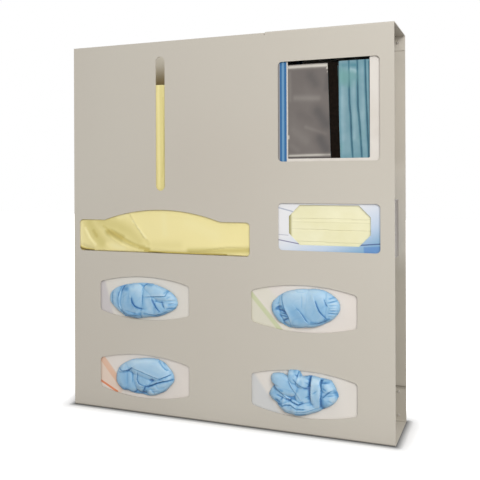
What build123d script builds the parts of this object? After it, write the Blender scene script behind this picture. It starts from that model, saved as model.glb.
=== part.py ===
from build123d import *
from math import cos, exp, hypot, pi, sin
import os

os.makedirs("parts", exist_ok=True)

# Wall dispenser for gloves, masks and gowns, folded from coated steel sheet
# Origin at the middle of the base, X to the viewer's right, Y towards the wall, Z up

# Cartons that the bays are made for
card = 1
glove_carton_width = 240
glove_carton_height = 125
glove_carton_depth = 75
mask_carton_width = 192
mask_carton_height = 95
mask_carton_depth = 95
shield_carton_width = 168
shield_carton_height = 192
shield_carton_depth = 96

# Room above the cartons and beside the mask carton
lower_bay_headroom = 14.4
upper_bay_headroom = 19
mask_bay_headroom = 52
shield_bay_headroom = 36
column_clearance = 20.1

# Cabinet
width = 587
depth = 120
sheet = 1.6
bend = 3.2
weld_flange = 13
upright_flange = 11
side_inset = 22
fit = 0.2

# Front panel folds
floor_flange = 61
safety_lip = 4.5
top_flange = 26
top_step = 1.8
relief = 2.5

# Mouths over the gloves, arched above and below
glove_mouth_width = 179
glove_mouth_side = 52
glove_mouth_crest = 77
glove_mouth_corner = 7
glove_mouth_shift = -1.7
lower_mouth_rise = 63.4
upper_mouth_rise = 63

# Windows over the masks and the visor masks
window_width = 167.4
window_corner = 7
mask_window_sill = 13.3
mask_window_head = 4.3
shield_window_sill = 12
shield_window_drop = 52

# Gown mouth, with an arch in its top, and the slot above it
gown_mouth_left_margin = 11.9
gown_mouth_right_margin = 28
gown_mouth_side = 57.5
gown_mouth_flat = 53.5
gown_mouth_rise = 19.3
gown_mouth_corner = 7
slot_rise = 110.5
slot_drop = 28.5
slot_width = 18

# Blind rivets and holes for wall screws
rivet_shank = 1.6
rivet_head = 2.6
rivet_rise = 1.8
rivet_taper = 30
rivet_edge = 12.5
rivet_columns = 3
floor_rivet_low = 10.8
floor_rivet_high = 51
top_rivet_drop = 12.6
wall_hole_radius = 3.5
wall_hole_pitch = 406.4
wall_hole_low = 115
wall_hole_drop = 50

# Carton mouths
glove_oval_width = 102
glove_oval_height = 50
mask_mouth_width = 134.6
mask_mouth_height = 65.3
mask_mouth_cut = 18.6
mask_mouth_rise = 55
mask_carton_shift = 0.9
shield_frame_left = 16.4
shield_frame_right = 16.6
shield_frame_sill = 16.3
shield_frame_top = 6
shield_frame_corner = 2
rest_gap = 0.3
content_gap = 0.5

# Worked out from the sizes above
glove_shelf_z = sheet + glove_carton_height + lower_bay_headroom
mid_shelf_z = glove_shelf_z + glove_carton_height + upper_bay_headroom
shield_shelf_z = mid_shelf_z + mask_carton_height + mask_bay_headroom
height = shield_shelf_z + shield_carton_height + shield_bay_headroom
half = width / 2
front = -depth / 2
back = depth / 2
inner_front = front + sheet
inner_back = back - sheet
column_x = half - mask_carton_width - column_clearance
column_centre = (column_x + half) / 2
glove_mouth_x = [side * width / 4 + glove_mouth_shift for side in (-1, 1)]
glove_mouth_z = [sheet + lower_mouth_rise, glove_shelf_z + upper_mouth_rise]
gown_mouth_left = -half + gown_mouth_left_margin
gown_mouth_right = column_x - gown_mouth_right_margin
carton_front = inner_front + bend - sheet
front_plane = Plane.XZ.offset(-front)


def folded_sheet(plane, corners, length):
    """Bend a strip along its corners, thicken it to its left and draw it out along the bends."""
    with BuildSketch(plane, mode=Mode.PRIVATE) as section:
        with BuildLine():
            FilletPolyline(*corners, radius=bend)
            offset(amount=sheet, side=Side.LEFT)
        make_face()
    extrude(section.sketch, amount=length)


def channel_shelf(top, left, right):
    """A shelf with a welding flange turned down at the front and at the back."""
    low = top - weld_flange
    corners = [(inner_back, low), (inner_back, top), (inner_front, top), (inner_front, low)]
    folded_sheet(Plane.YZ.offset(left), corners, right - left)


def rivets(places):
    """Blind rivets along Y, each a shank through both sheets with its set head inside."""
    flange_face = inner_back - sheet
    with BuildSketch(Plane.XZ.offset(-back), mode=Mode.PRIVATE) as shanks:
        with Locations(*places):
            Circle(rivet_shank)
    extrude(shanks.sketch, amount=back - flange_face)
    with BuildSketch(Plane.XZ.offset(-flange_face), mode=Mode.PRIVATE) as heads:
        with Locations(*places):
            Circle(rivet_head)
    extrude(heads.sketch, amount=rivet_rise, taper=rivet_taper)


def rivet_row(count):
    """Places across the width, the end ones near the sides."""
    reach = half - rivet_edge
    return [-reach + 2 * reach * i / (count - 1) for i in range(count)]


def carton(centre_x, base_z, size_x, size_y, size_z):
    """A closed card box standing behind the front panel."""
    floor_z = base_z + rest_gap
    for inset, mode in ((0, Mode.ADD), (card, Mode.SUBTRACT)):
        with BuildSketch(Plane.XY.offset(floor_z + inset), mode=Mode.PRIVATE) as footprint:
            with Locations((centre_x, carton_front + size_y / 2)):
                Rectangle(size_x - 2 * inset, size_y - 2 * inset)
        extrude(footprint.sketch, amount=size_z - 2 * inset, mode=mode)


# Glove mouth outline
with BuildSketch() as glove_mouth:
    with BuildLine():
        side_x = glove_mouth_width / 2
        side_y = glove_mouth_side / 2
        crest_y = glove_mouth_crest / 2
        ThreePointArc((-side_x, side_y), (0, crest_y), (side_x, side_y))
        Line((side_x, side_y), (side_x, -side_y))
        ThreePointArc((side_x, -side_y), (0, -crest_y), (-side_x, -side_y))
        Line((-side_x, -side_y), (-side_x, side_y))
    make_face()
    fillet(glove_mouth.vertices(), glove_mouth_corner)

# Gown mouth outline, a long rectangle with an arch in its top
with BuildSketch() as gown_mouth:
    with BuildLine():
        side_top = mid_shelf_z + gown_mouth_side
        arch_left = gown_mouth_left + gown_mouth_flat
        arch_right = gown_mouth_right - gown_mouth_flat
        crest = (arch_left + arch_right) / 2, side_top + gown_mouth_rise
        Line((gown_mouth_left, mid_shelf_z), (gown_mouth_right, mid_shelf_z))
        Line((gown_mouth_right, mid_shelf_z), (gown_mouth_right, side_top))
        Line((gown_mouth_right, side_top), (arch_right, side_top))
        ThreePointArc((arch_right, side_top), crest, (arch_left, side_top))
        Line((arch_left, side_top), (gown_mouth_left, side_top))
        Line((gown_mouth_left, side_top), (gown_mouth_left, mid_shelf_z))
    make_face()
    outer_corners = gown_mouth.vertices().group_by(Axis.X)
    fillet(outer_corners[0] + outer_corners[-1], gown_mouth_corner)

# Front panel with its floor, rear flange and the cover over the right-hand column
floor_rivet_places = [(x, z) for x in rivet_row(rivet_columns) for z in (floor_rivet_low, floor_rivet_high)]
top_rivet_places = [(x, height - top_rivet_drop) for x in (column_x + rivet_edge, half - rivet_edge)]
with BuildPart() as front_panel:
    plate_top = height - bend - relief
    floor_corners = [
        (front, plate_top),
        (front, 0),
        (inner_back, 0),
        (inner_back, floor_flange),
        (inner_back - safety_lip, floor_flange),
    ]
    folded_sheet(Plane.YZ.offset(-half), floor_corners, width)
    top_corners = [
        (inner_back, height - top_flange),
        (inner_back, height),
        (front, height),
        (front, plate_top - bend),
    ]
    folded_sheet(Plane.YZ.offset(column_x), top_corners, half - column_x)
    with BuildSketch(front_plane):
        with Locations((-half, plate_top)):
            Rectangle(column_x - relief + half, height - top_step - plate_top, align=(Align.MIN, Align.MIN))
    extrude(amount=-sheet)
    with BuildSketch(front_plane):
        with Locations(*[(x, z) for x in glove_mouth_x for z in glove_mouth_z]):
            add(glove_mouth.sketch)
        add(gown_mouth.sketch)
        slot_low = mid_shelf_z + slot_rise
        slot_high = height - slot_drop
        with Locations(((gown_mouth_left + gown_mouth_right) / 2, (slot_low + slot_high) / 2)):
            SlotOverall(slot_high - slot_low, slot_width, rotation=90)
        mask_window_low = mid_shelf_z + mask_window_sill
        mask_window_high = mid_shelf_z + mask_carton_height - mask_window_head
        shield_window_low = shield_shelf_z + shield_window_sill
        shield_window_high = height - shield_window_drop
        for low, high in ((mask_window_low, mask_window_high), (shield_window_low, shield_window_high)):
            with Locations((column_centre, (low + high) / 2)):
                RectangleRounded(window_width, high - low, window_corner)
    extrude(amount=-sheet, mode=Mode.SUBTRACT)
    with BuildSketch(Plane.XZ.offset(-inner_back)):
        with Locations(*floor_rivet_places, *top_rivet_places):
            Circle(rivet_shank)
    extrude(amount=sheet, mode=Mode.SUBTRACT)
front_panel.part.label = "front_panel"
export_step(front_panel.part, "parts/front_panel.step")

# Back panel with rivet holes and four holes for wall screws
with BuildPart() as back_panel:
    with BuildSketch(Plane.XZ.offset(-back)):
        with Locations((0, height / 2)):
            Rectangle(width, height)
        with Locations(*floor_rivet_places, *top_rivet_places):
            Circle(rivet_shank, mode=Mode.SUBTRACT)
        wall_rows = (wall_hole_low, height - wall_hole_drop)
        with Locations(*[(side * wall_hole_pitch / 2, z) for side in (-1, 1) for z in wall_rows]):
            Circle(wall_hole_radius, mode=Mode.SUBTRACT)
    extrude(amount=sheet)
back_panel.part.label = "back_panel"
export_step(back_panel.part, "parts/back_panel.step")

# Rivets through the rear flanges
with BuildPart() as floor_rivets:
    rivets(floor_rivet_places)
floor_rivets.part.label = "floor_rivets"
export_step(floor_rivets.part, "parts/floor_rivets.step")

with BuildPart() as top_rivets:
    rivets(top_rivet_places)
top_rivets.part.label = "top_rivets"
export_step(top_rivets.part, "parts/top_rivets.step")

# Shelves
divider_half = sheet / 2
right_end = half - side_inset

with BuildPart() as mid_shelf:
    channel_shelf(mid_shelf_z, -half, right_end)
mid_shelf.part.label = "mid_shelf"
export_step(mid_shelf.part, "parts/mid_shelf.step")

with BuildPart() as left_glove_shelf:
    channel_shelf(glove_shelf_z, -right_end, -divider_half - fit)
left_glove_shelf.part.label = "left_glove_shelf"
export_step(left_glove_shelf.part, "parts/left_glove_shelf.step")

with BuildPart() as right_glove_shelf:
    channel_shelf(glove_shelf_z, divider_half + fit, right_end)
right_glove_shelf.part.label = "right_glove_shelf"
export_step(right_glove_shelf.part, "parts/right_glove_shelf.step")

with BuildPart() as shield_shelf:
    channel_shelf(shield_shelf_z, column_x, right_end)
shield_shelf.part.label = "shield_shelf"
export_step(shield_shelf.part, "parts/shield_shelf.step")

# Glove divider, a channel between the floor and the middle shelf
with BuildPart() as glove_divider:
    head = mid_shelf_z - sheet
    foot = sheet
    tip = weld_flange - divider_half
    divider_corners = [(tip, head), (-divider_half, head), (-divider_half, foot), (tip, foot)]
    divider_back = inner_back - safety_lip - fit
    divider_front = inner_front + bend + fit
    folded_sheet(Plane.XZ.offset(-divider_back), divider_corners, divider_back - divider_front)
glove_divider.part.label = "glove_divider"
export_step(glove_divider.part, "parts/glove_divider.step")

# Gown bay walls, each a channel with upright flanges towards the bay
with BuildPart() as gown_wall:
    tip = -half + upright_flange
    wall_corners = [(tip, inner_back), (-half, inner_back), (-half, inner_front), (tip, inner_front)]
    folded_sheet(Plane.XY.offset(mid_shelf_z), wall_corners, height - top_step - mid_shelf_z)
gown_wall.part.label = "gown_wall"
export_step(gown_wall.part, "parts/gown_wall.step")

with BuildPart() as column_divider:
    web = column_x - fit
    tip = web - upright_flange
    wall_corners = [(tip, inner_front), (web, inner_front), (web, inner_back), (tip, inner_back)]
    folded_sheet(Plane.XY.offset(mid_shelf_z), wall_corners, height - top_step - mid_shelf_z)
column_divider.part.label = "column_divider"
export_step(column_divider.part, "parts/column_divider.step")

# How each bunch of gloves stands out of its carton, in millimetres from the middle of the oval.
# A swell widens the outline at an angle; a fold is an oval ridge: place, half sizes, lean, rise.
oval_half_width = glove_oval_width / 2
oval_half_height = glove_oval_height / 2
glove_facet_count = 20
glove_rings = (1, 0.87, 0.66, 0.38)
glove_dome = 4
bunches = {
    "upper_left": {
        "shift": (-1, 2.2), "half": (68, 31.6), "lean": 0.05,
        "swells": [(3.9, 0.03, 0.5)],
        "folds": [
            (-57, -2, 13, 24, 0, 2.6), (-46, -1, 15, 30, 0, 4.6), (-20, -1, 29, 32, 0, 7.3),
            (12, 2, 27, 31, -0.2, 6.6), (38, 13, 30, 15, -0.2, 5.9), (36, -8, 24, 16, 0.2, 5.3),
        ],
    },
    "lower_left": {
        "shift": (0.3, 0.6), "half": (59, 33.6), "lean": 0.13,
        "swells": [(0.5, -0.05, 0.3)],
        "folds": [
            (12, 18, 50, 20, -0.35, 7.3), (-38, 14, 18, 11, 0.35, 5.9), (-32, -8, 30, 27, 0.1, 5.9),
            (-6, 0, 22, 17, -0.15, 6.6), (30, -12, 32, 19, 0.45, 5.9), (46, 4, 18, 12, 0.3, 5.3),
        ],
    },
    "lower_right": {
        "shift": (0, 0.4), "half": (59, 34), "lean": 0.08,
        "swells": [(1.82, 0.13, 0.16), (2.44, 0.14, 0.25), (2.75, -0.08, 0.15)],
        "folds": [
            (-30, 14, 33, 20, -0.3, 9.2), (-16, 28, 13, 17, 0, 9.9), (-2, 8, 16, 34, -0.2, 9.9),
            (24, 8, 16, 33, 0.05, 9.9), (42, 2, 18, 27, 0, 8.6), (-6, -18, 50, 19, 0.05, 7.9),
            (-40, -8, 20, 16, -0.4, 5.9),
        ],
    },
    "upper_right": {
        "shift": (0.4, 1.5), "half": (58.3, 32.8), "lean": 0.1,
        "swells": [],
        "folds": [
            (-45, -4, 16, 25, 0.3, 4), (-12, 4, 28, 33, 0.1, 7.3), (-2, -12, 30, 21, -0.3, 6.6),
            (16, 4, 20, 33, -0.2, 7.9), (44, 4, 17, 27, 0.1, 4.6),
        ],
    },
}
glove_bays = {
    "lower_left": (glove_mouth_x[0] + 1.5, sheet, 0.8),
    "upper_left": (glove_mouth_x[0], glove_shelf_z, 6.5),
    "lower_right": (glove_mouth_x[1] + 1, sheet, 0.8),
    "upper_right": (glove_mouth_x[1] + 4, glove_shelf_z, 0),
}


def fold_rise(x, z, folds):
    """Height of the highest fold at a place."""
    rise = 0
    for fold_x, fold_z, half_across, half_up, lean, top in folds:
        across = (x - fold_x) * cos(lean) + (z - fold_z) * sin(lean)
        up = (z - fold_z) * cos(lean) - (x - fold_x) * sin(lean)
        out = hypot(across / half_across, up / half_up)
        if out < 1:
            rise = max(rise, top * (1 - out**2) ** 0.5)
    return rise


def bunch_ring(bunch, share):
    """Corners of one ring of facets, as steps from the middle of the bunch and their height."""
    half_across, half_up = bunch["half"]
    corners = []
    for i in range(glove_facet_count):
        turn = 2 * pi * i / glove_facet_count
        size = share
        for at, swell, spread in bunch["swells"]:
            size += share * swell * exp(-(((turn - at) / spread) ** 2))
        across = size * half_across * cos(turn)
        up = size * half_up * sin(turn)
        x = across * cos(bunch["lean"]) - up * sin(bunch["lean"])
        z = across * sin(bunch["lean"]) + up * cos(bunch["lean"])
        rise = 0 if share == 1 else glove_dome * (1 - share**2) + fold_rise(x, z, bunch["folds"])
        corners.append((x, z, rise))
    return corners


def glove_bunch(bunch, centre_x, centre_z, root_y):
    """Gloves standing out of the oval: flat facets over overlapping folds, closed by a flat back."""
    rings = [bunch_ring(bunch, share) for share in glove_rings]
    peak = (0, 0, glove_dome + fold_rise(0, 0, bunch["folds"]))
    place = {c: (centre_x + c[0], root_y - c[2], centre_z + c[1]) for ring in rings + [[peak]] for c in ring}
    facets = [[place[c] for c in rings[0]]]
    for outer, inner in zip(rings, rings[1:]):
        for i in range(glove_facet_count):
            after = (i + 1) % glove_facet_count
            facets.append([place[outer[i]], place[outer[after]], place[inner[i]]])
            facets.append([place[outer[after]], place[inner[after]], place[inner[i]]])
    for i in range(glove_facet_count):
        facets.append([place[rings[-1][i]], place[rings[-1][(i + 1) % glove_facet_count]], place[peak]])
    shell = Shell([Face(Wire.make_polygon(facet)) for facet in facets])
    add(Solid(shell))


# Glove cartons and their gloves
for bay, (bay_x, bay_z, sag) in glove_bays.items():
    oval_z = bay_z + rest_gap + glove_carton_height / 2 - sag
    with BuildPart() as glove_carton:
        carton(bay_x, bay_z, glove_carton_width, glove_carton_depth, glove_carton_height)
        with BuildSketch(Plane.XZ.offset(-carton_front)):
            with Locations((bay_x, oval_z)):
                Ellipse(oval_half_width, oval_half_height)
        extrude(amount=-card, mode=Mode.SUBTRACT)
    glove_carton.part.label = f"glove_carton_{bay}"
    export_step(glove_carton.part, f"parts/glove_carton_{bay}.step")

    with BuildPart() as gloves:
        inset = card + content_gap
        near = carton_front + inset
        pile_floor = bay_z + 2 * rest_gap + card
        pile_height = glove_carton_height - 2 * inset - rest_gap
        with BuildSketch(Plane.XY.offset(pile_floor)):
            with Locations((bay_x, carton_front + glove_carton_depth / 2)):
                Rectangle(glove_carton_width - 2 * inset, glove_carton_depth - 2 * inset)
        extrude(amount=pile_height)
        bunch = bunches[bay]
        root_y = carton_front - rest_gap
        with BuildSketch(Plane.XZ.offset(-near)):
            with Locations((bay_x, oval_z)):
                Ellipse(oval_half_width - content_gap, oval_half_height - content_gap)
        extrude(amount=near - root_y + content_gap)
        glove_bunch(bunch, bay_x + bunch["shift"][0], oval_z + bunch["shift"][1], root_y)
    gloves.part.label = f"gloves_{bay}"
    export_step(gloves.part, f"parts/gloves_{bay}.step")

# Mask carton with an eight-sided mouth
mask_x = column_centre + mask_carton_shift
mask_base = mid_shelf_z + rest_gap
with BuildPart() as mask_carton:
    carton(mask_x, mid_shelf_z, mask_carton_width, mask_carton_depth, mask_carton_height)
    with BuildSketch(Plane.XZ.offset(-carton_front)):
        with Locations((mask_x, mask_base + mask_mouth_rise)):
            Rectangle(mask_mouth_width, mask_mouth_height)
        chamfer(vertices(), mask_mouth_cut)
    extrude(amount=-card, mode=Mode.SUBTRACT)
mask_carton.part.label = "mask_carton"
export_step(mask_carton.part, "parts/mask_carton.step")

# Pile of flat masks on edge, the front one with pleats across it
pleat_count = 3
pleat_pitch = 16
pleat_step = 2.2
pleat_lip = 0.8
mask_pile_margin = 8
with BuildPart() as mask_stack:
    pile_front = carton_front + card + content_gap + 2 * pleat_step
    pile_back = carton_front + mask_carton_depth - card - content_gap
    pile_low = mask_base + card + rest_gap
    pile_high = mask_base + mask_carton_height - card - 3 * content_gap
    pile_half = mask_carton_width / 2 - card - mask_pile_margin
    with BuildSketch(Plane.YZ.offset(mask_x - pile_half)):
        with BuildLine():
            edge = [(pile_back, pile_high), (pile_back, pile_low), (pile_front, pile_low)]
            first = mask_base + mask_mouth_rise - pleat_pitch * (pleat_count - 1) / 2
            for i in range(pleat_count):
                z = first + i * pleat_pitch
                edge.append((pile_front, z - pleat_pitch / 4))
                edge.append((pile_front - pleat_step, z))
                edge.append((pile_front, z + pleat_lip))
            edge.append((pile_front, pile_high))
            Polyline(*edge, close=True)
        make_face()
    extrude(amount=2 * pile_half)
mask_stack.part.label = "mask_stack"
export_step(mask_stack.part, "parts/mask_stack.step")

# Carton of visor masks, its front cut away to a frame
shield_base = shield_shelf_z + rest_gap
shield_left = column_centre - shield_carton_width / 2
shield_right = column_centre + shield_carton_width / 2
frame_left = shield_left + shield_frame_left
frame_right = shield_right - shield_frame_right
frame_low = shield_base + shield_frame_sill
frame_high = shield_base + shield_carton_height - shield_frame_top
with BuildPart() as shield_carton:
    carton(column_centre, shield_shelf_z, shield_carton_width, shield_carton_depth, shield_carton_height)
    with BuildSketch(Plane.XZ.offset(-carton_front)):
        with Locations(((frame_left + frame_right) / 2, (frame_low + frame_high) / 2)):
            RectangleRounded(frame_right - frame_left, frame_high - frame_low, shield_frame_corner)
    extrude(amount=-card, mode=Mode.SUBTRACT)
shield_carton.part.label = "shield_carton"
export_step(shield_carton.part, "parts/shield_carton.step")

# Visor masks on end behind the frame: visor film on the left, foam strip, then the pleated mask
visor_drop = 22
pack_margin = 6
visor_width = 70
foam_width = 14.8
foam_thickness = 2.4
foam_corner = 1
film = 0.6
visor_bow = 1.6
mask_pleat_count = 3
mask_pleat_pitch = 13.2
mask_pleat_depth = 1.6
mask_pleat_lip = 1
pack_low = shield_base + card + rest_gap
pack_tall = shield_carton_height - 2 * card - visor_drop
pack_face = carton_front + card + visor_bow + film + 2 * content_gap
pack_rear = pack_face + foam_thickness + fit
pack_back = carton_front + shield_carton_depth - card - content_gap
foam_left = frame_left + visor_width
foam_right = foam_left + foam_width
with BuildPart() as shield_mask:
    with BuildSketch(Plane.XY.offset(pack_low)):
        with BuildLine():
            low_x = shield_left + card + pack_margin
            high_x = shield_right - card - pack_margin
            outline = [(low_x, pack_back), (low_x, pack_rear), (foam_right + fit, pack_rear)]
            outline.append((foam_right + fit, pack_face))
            for i in range(1, mask_pleat_count + 1):
                x = foam_right + i * mask_pleat_pitch + mask_pleat_lip
                outline.append((x - mask_pleat_lip, pack_face))
                outline.append((x, pack_face + mask_pleat_depth))
                outline.append((x + mask_pleat_lip, pack_face))
            outline.append((high_x, pack_face))
            outline.append((high_x, pack_back))
            Polyline(*outline, close=True)
        make_face()
    extrude(amount=pack_tall)
shield_mask.part.label = "shield_mask"
export_step(shield_mask.part, "parts/shield_mask.step")

with BuildPart() as foam_strip:
    with BuildSketch(Plane.XY.offset(pack_low)):
        with Locations(((foam_left + foam_right) / 2, pack_face + foam_thickness / 2)):
            RectangleRounded(foam_width - fit, foam_thickness, foam_corner)
    extrude(amount=pack_tall)
foam_strip.part.label = "foam_strip"
export_step(foam_strip.part, "parts/foam_strip.step")

# Clear visor, bowed towards the front
with BuildPart() as visor_film:
    with BuildSketch(Plane.XY.offset(pack_low)):
        with BuildLine():
            visor_left = shield_left + card + pack_margin
            visor_right = foam_left - fit
            visor_y = pack_face + foam_thickness - film
            visor_middle = (visor_left + visor_right) / 2
            ThreePointArc((visor_right, visor_y), (visor_middle, visor_y - visor_bow), (visor_left, visor_y))
            offset(amount=film, side=Side.LEFT)
        make_face()
    extrude(amount=pack_tall)
visor_film.part.label = "visor_film"
export_step(visor_film.part, "parts/visor_film.step")

# Folded gowns, standing in their bay and slumped against the front
gown_drop = 75.5
gown_side_gap = 3
gown_clearance = 3.5
gown_rear_gap = 6
gown_left = -half + sheet + gown_side_gap
gown_right = column_x - fit - sheet - gown_side_gap
gown_top = height - gown_drop
gown_back = inner_back - gown_rear_gap
gown_columns = 16
# Folds as place, height above the shelf, lean, half sizes and rise
gown_levels = (0, 0.02, 0.06, 0.1, 0.14, 0.19, 0.25, 0.34, 0.6, 0.88, 1)
gown_folds = [
    (-258, 15, -0.95, 9, 40, 4), (-224, 20, -0.75, 14, 55, 3.5), (-160, 45, -1.1, 8, 45, 3),
    (-150, 60, -1.2, 26, 70, 2.5), (-20, 45, 0, 90, 70, 2),
]


def gown_front(x, z):
    """Where the gown's front lies at a place: diagonal folds near its foot, slumped back at its top."""
    up = (z - mid_shelf_z) / (gown_top - mid_shelf_z)
    fold = 0.6 * (1 + sin(x / 21 - 7 * up))
    for fold_x, fold_z, lean, half_across, half_up, rise in gown_folds:
        step_x = x - fold_x
        step_z = z - mid_shelf_z - fold_z
        across = step_x * cos(lean) - step_z * sin(lean)
        along = step_z * cos(lean) + step_x * sin(lean)
        out = hypot(across / half_across, along / half_up)
        fold = max(fold, rise * (1 - out**2))
    slump = 14 * max(0, up - 0.9) / 0.1
    foot = 5 * max(0, 0.05 - up) / 0.05
    return inner_front + gown_clearance + 4.5 - fold + slump + foot


with BuildPart() as gown_stack:
    gown_sections = []
    for share in gown_levels:
        level = mid_shelf_z + rest_gap + share * (gown_top - mid_shelf_z - rest_gap)
        with BuildSketch(Plane.XY.offset(level), mode=Mode.PRIVATE) as gown_section:
            with BuildLine():
                edge = [(gown_right, gown_back), (gown_left, gown_back)]
                for i in range(gown_columns + 1):
                    x = gown_left + (gown_right - gown_left) * i / gown_columns
                    edge.append((x, gown_front(x, level)))
                Polyline(*edge, close=True)
            make_face()
        gown_sections.append(gown_section.sketch)
    loft(gown_sections, ruled=True)
gown_stack.part.label = "gown_stack"
export_step(gown_stack.part, "parts/gown_stack.step")
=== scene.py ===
import math

import bpy
import numpy as np
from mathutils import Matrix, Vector


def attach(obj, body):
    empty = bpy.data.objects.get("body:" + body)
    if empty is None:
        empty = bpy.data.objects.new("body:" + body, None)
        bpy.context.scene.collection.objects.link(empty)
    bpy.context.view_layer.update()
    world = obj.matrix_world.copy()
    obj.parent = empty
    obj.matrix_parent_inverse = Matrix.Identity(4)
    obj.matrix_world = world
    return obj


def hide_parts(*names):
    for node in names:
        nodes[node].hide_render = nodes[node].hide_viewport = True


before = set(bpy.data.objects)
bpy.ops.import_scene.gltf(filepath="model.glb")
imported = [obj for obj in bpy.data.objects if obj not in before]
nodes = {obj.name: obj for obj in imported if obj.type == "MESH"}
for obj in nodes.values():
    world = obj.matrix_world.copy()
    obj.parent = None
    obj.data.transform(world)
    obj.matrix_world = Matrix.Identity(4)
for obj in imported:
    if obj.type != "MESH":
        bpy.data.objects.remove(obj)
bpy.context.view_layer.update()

MM = 0.001

# Camera, level, standing to the right of the cabinet, with a small shift for the photograph's framing
camera_data = bpy.data.cameras.new("camera")
camera_data.sensor_width = 36
camera_data.lens = 52.035
camera_data.shift_x = -0.00104
camera_data.shift_y = -0.1269
camera = bpy.data.objects.new("camera", camera_data)
camera.location = (0.4616, -1.1469, 0.4155)
camera.rotation_euler = (math.radians(90), math.radians(0.2016), math.radians(21.32))
bpy.context.scene.collection.objects.link(camera)
bpy.context.scene.camera = camera
bpy.context.scene.view_settings.view_transform = "Standard"


def clear_selection():
    if bpy.context.mode != "OBJECT":
        bpy.ops.object.mode_set(mode="OBJECT")
    bpy.ops.object.select_all(action="DESELECT")


def pick(piece):
    """Select one piece alone, and make it the active one."""
    clear_selection()
    bpy.context.view_layer.objects.active = piece
    piece.select_set(True)


def srgb(red, green, blue):
    """Linear colour of a screen colour given in 0 to 255."""
    def one(v):
        v = v / 255
        return v / 12.92 if v <= 0.04045 else ((v + 0.055) / 1.055) ** 2.4
    return (one(red), one(green), one(blue), 1)


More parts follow.
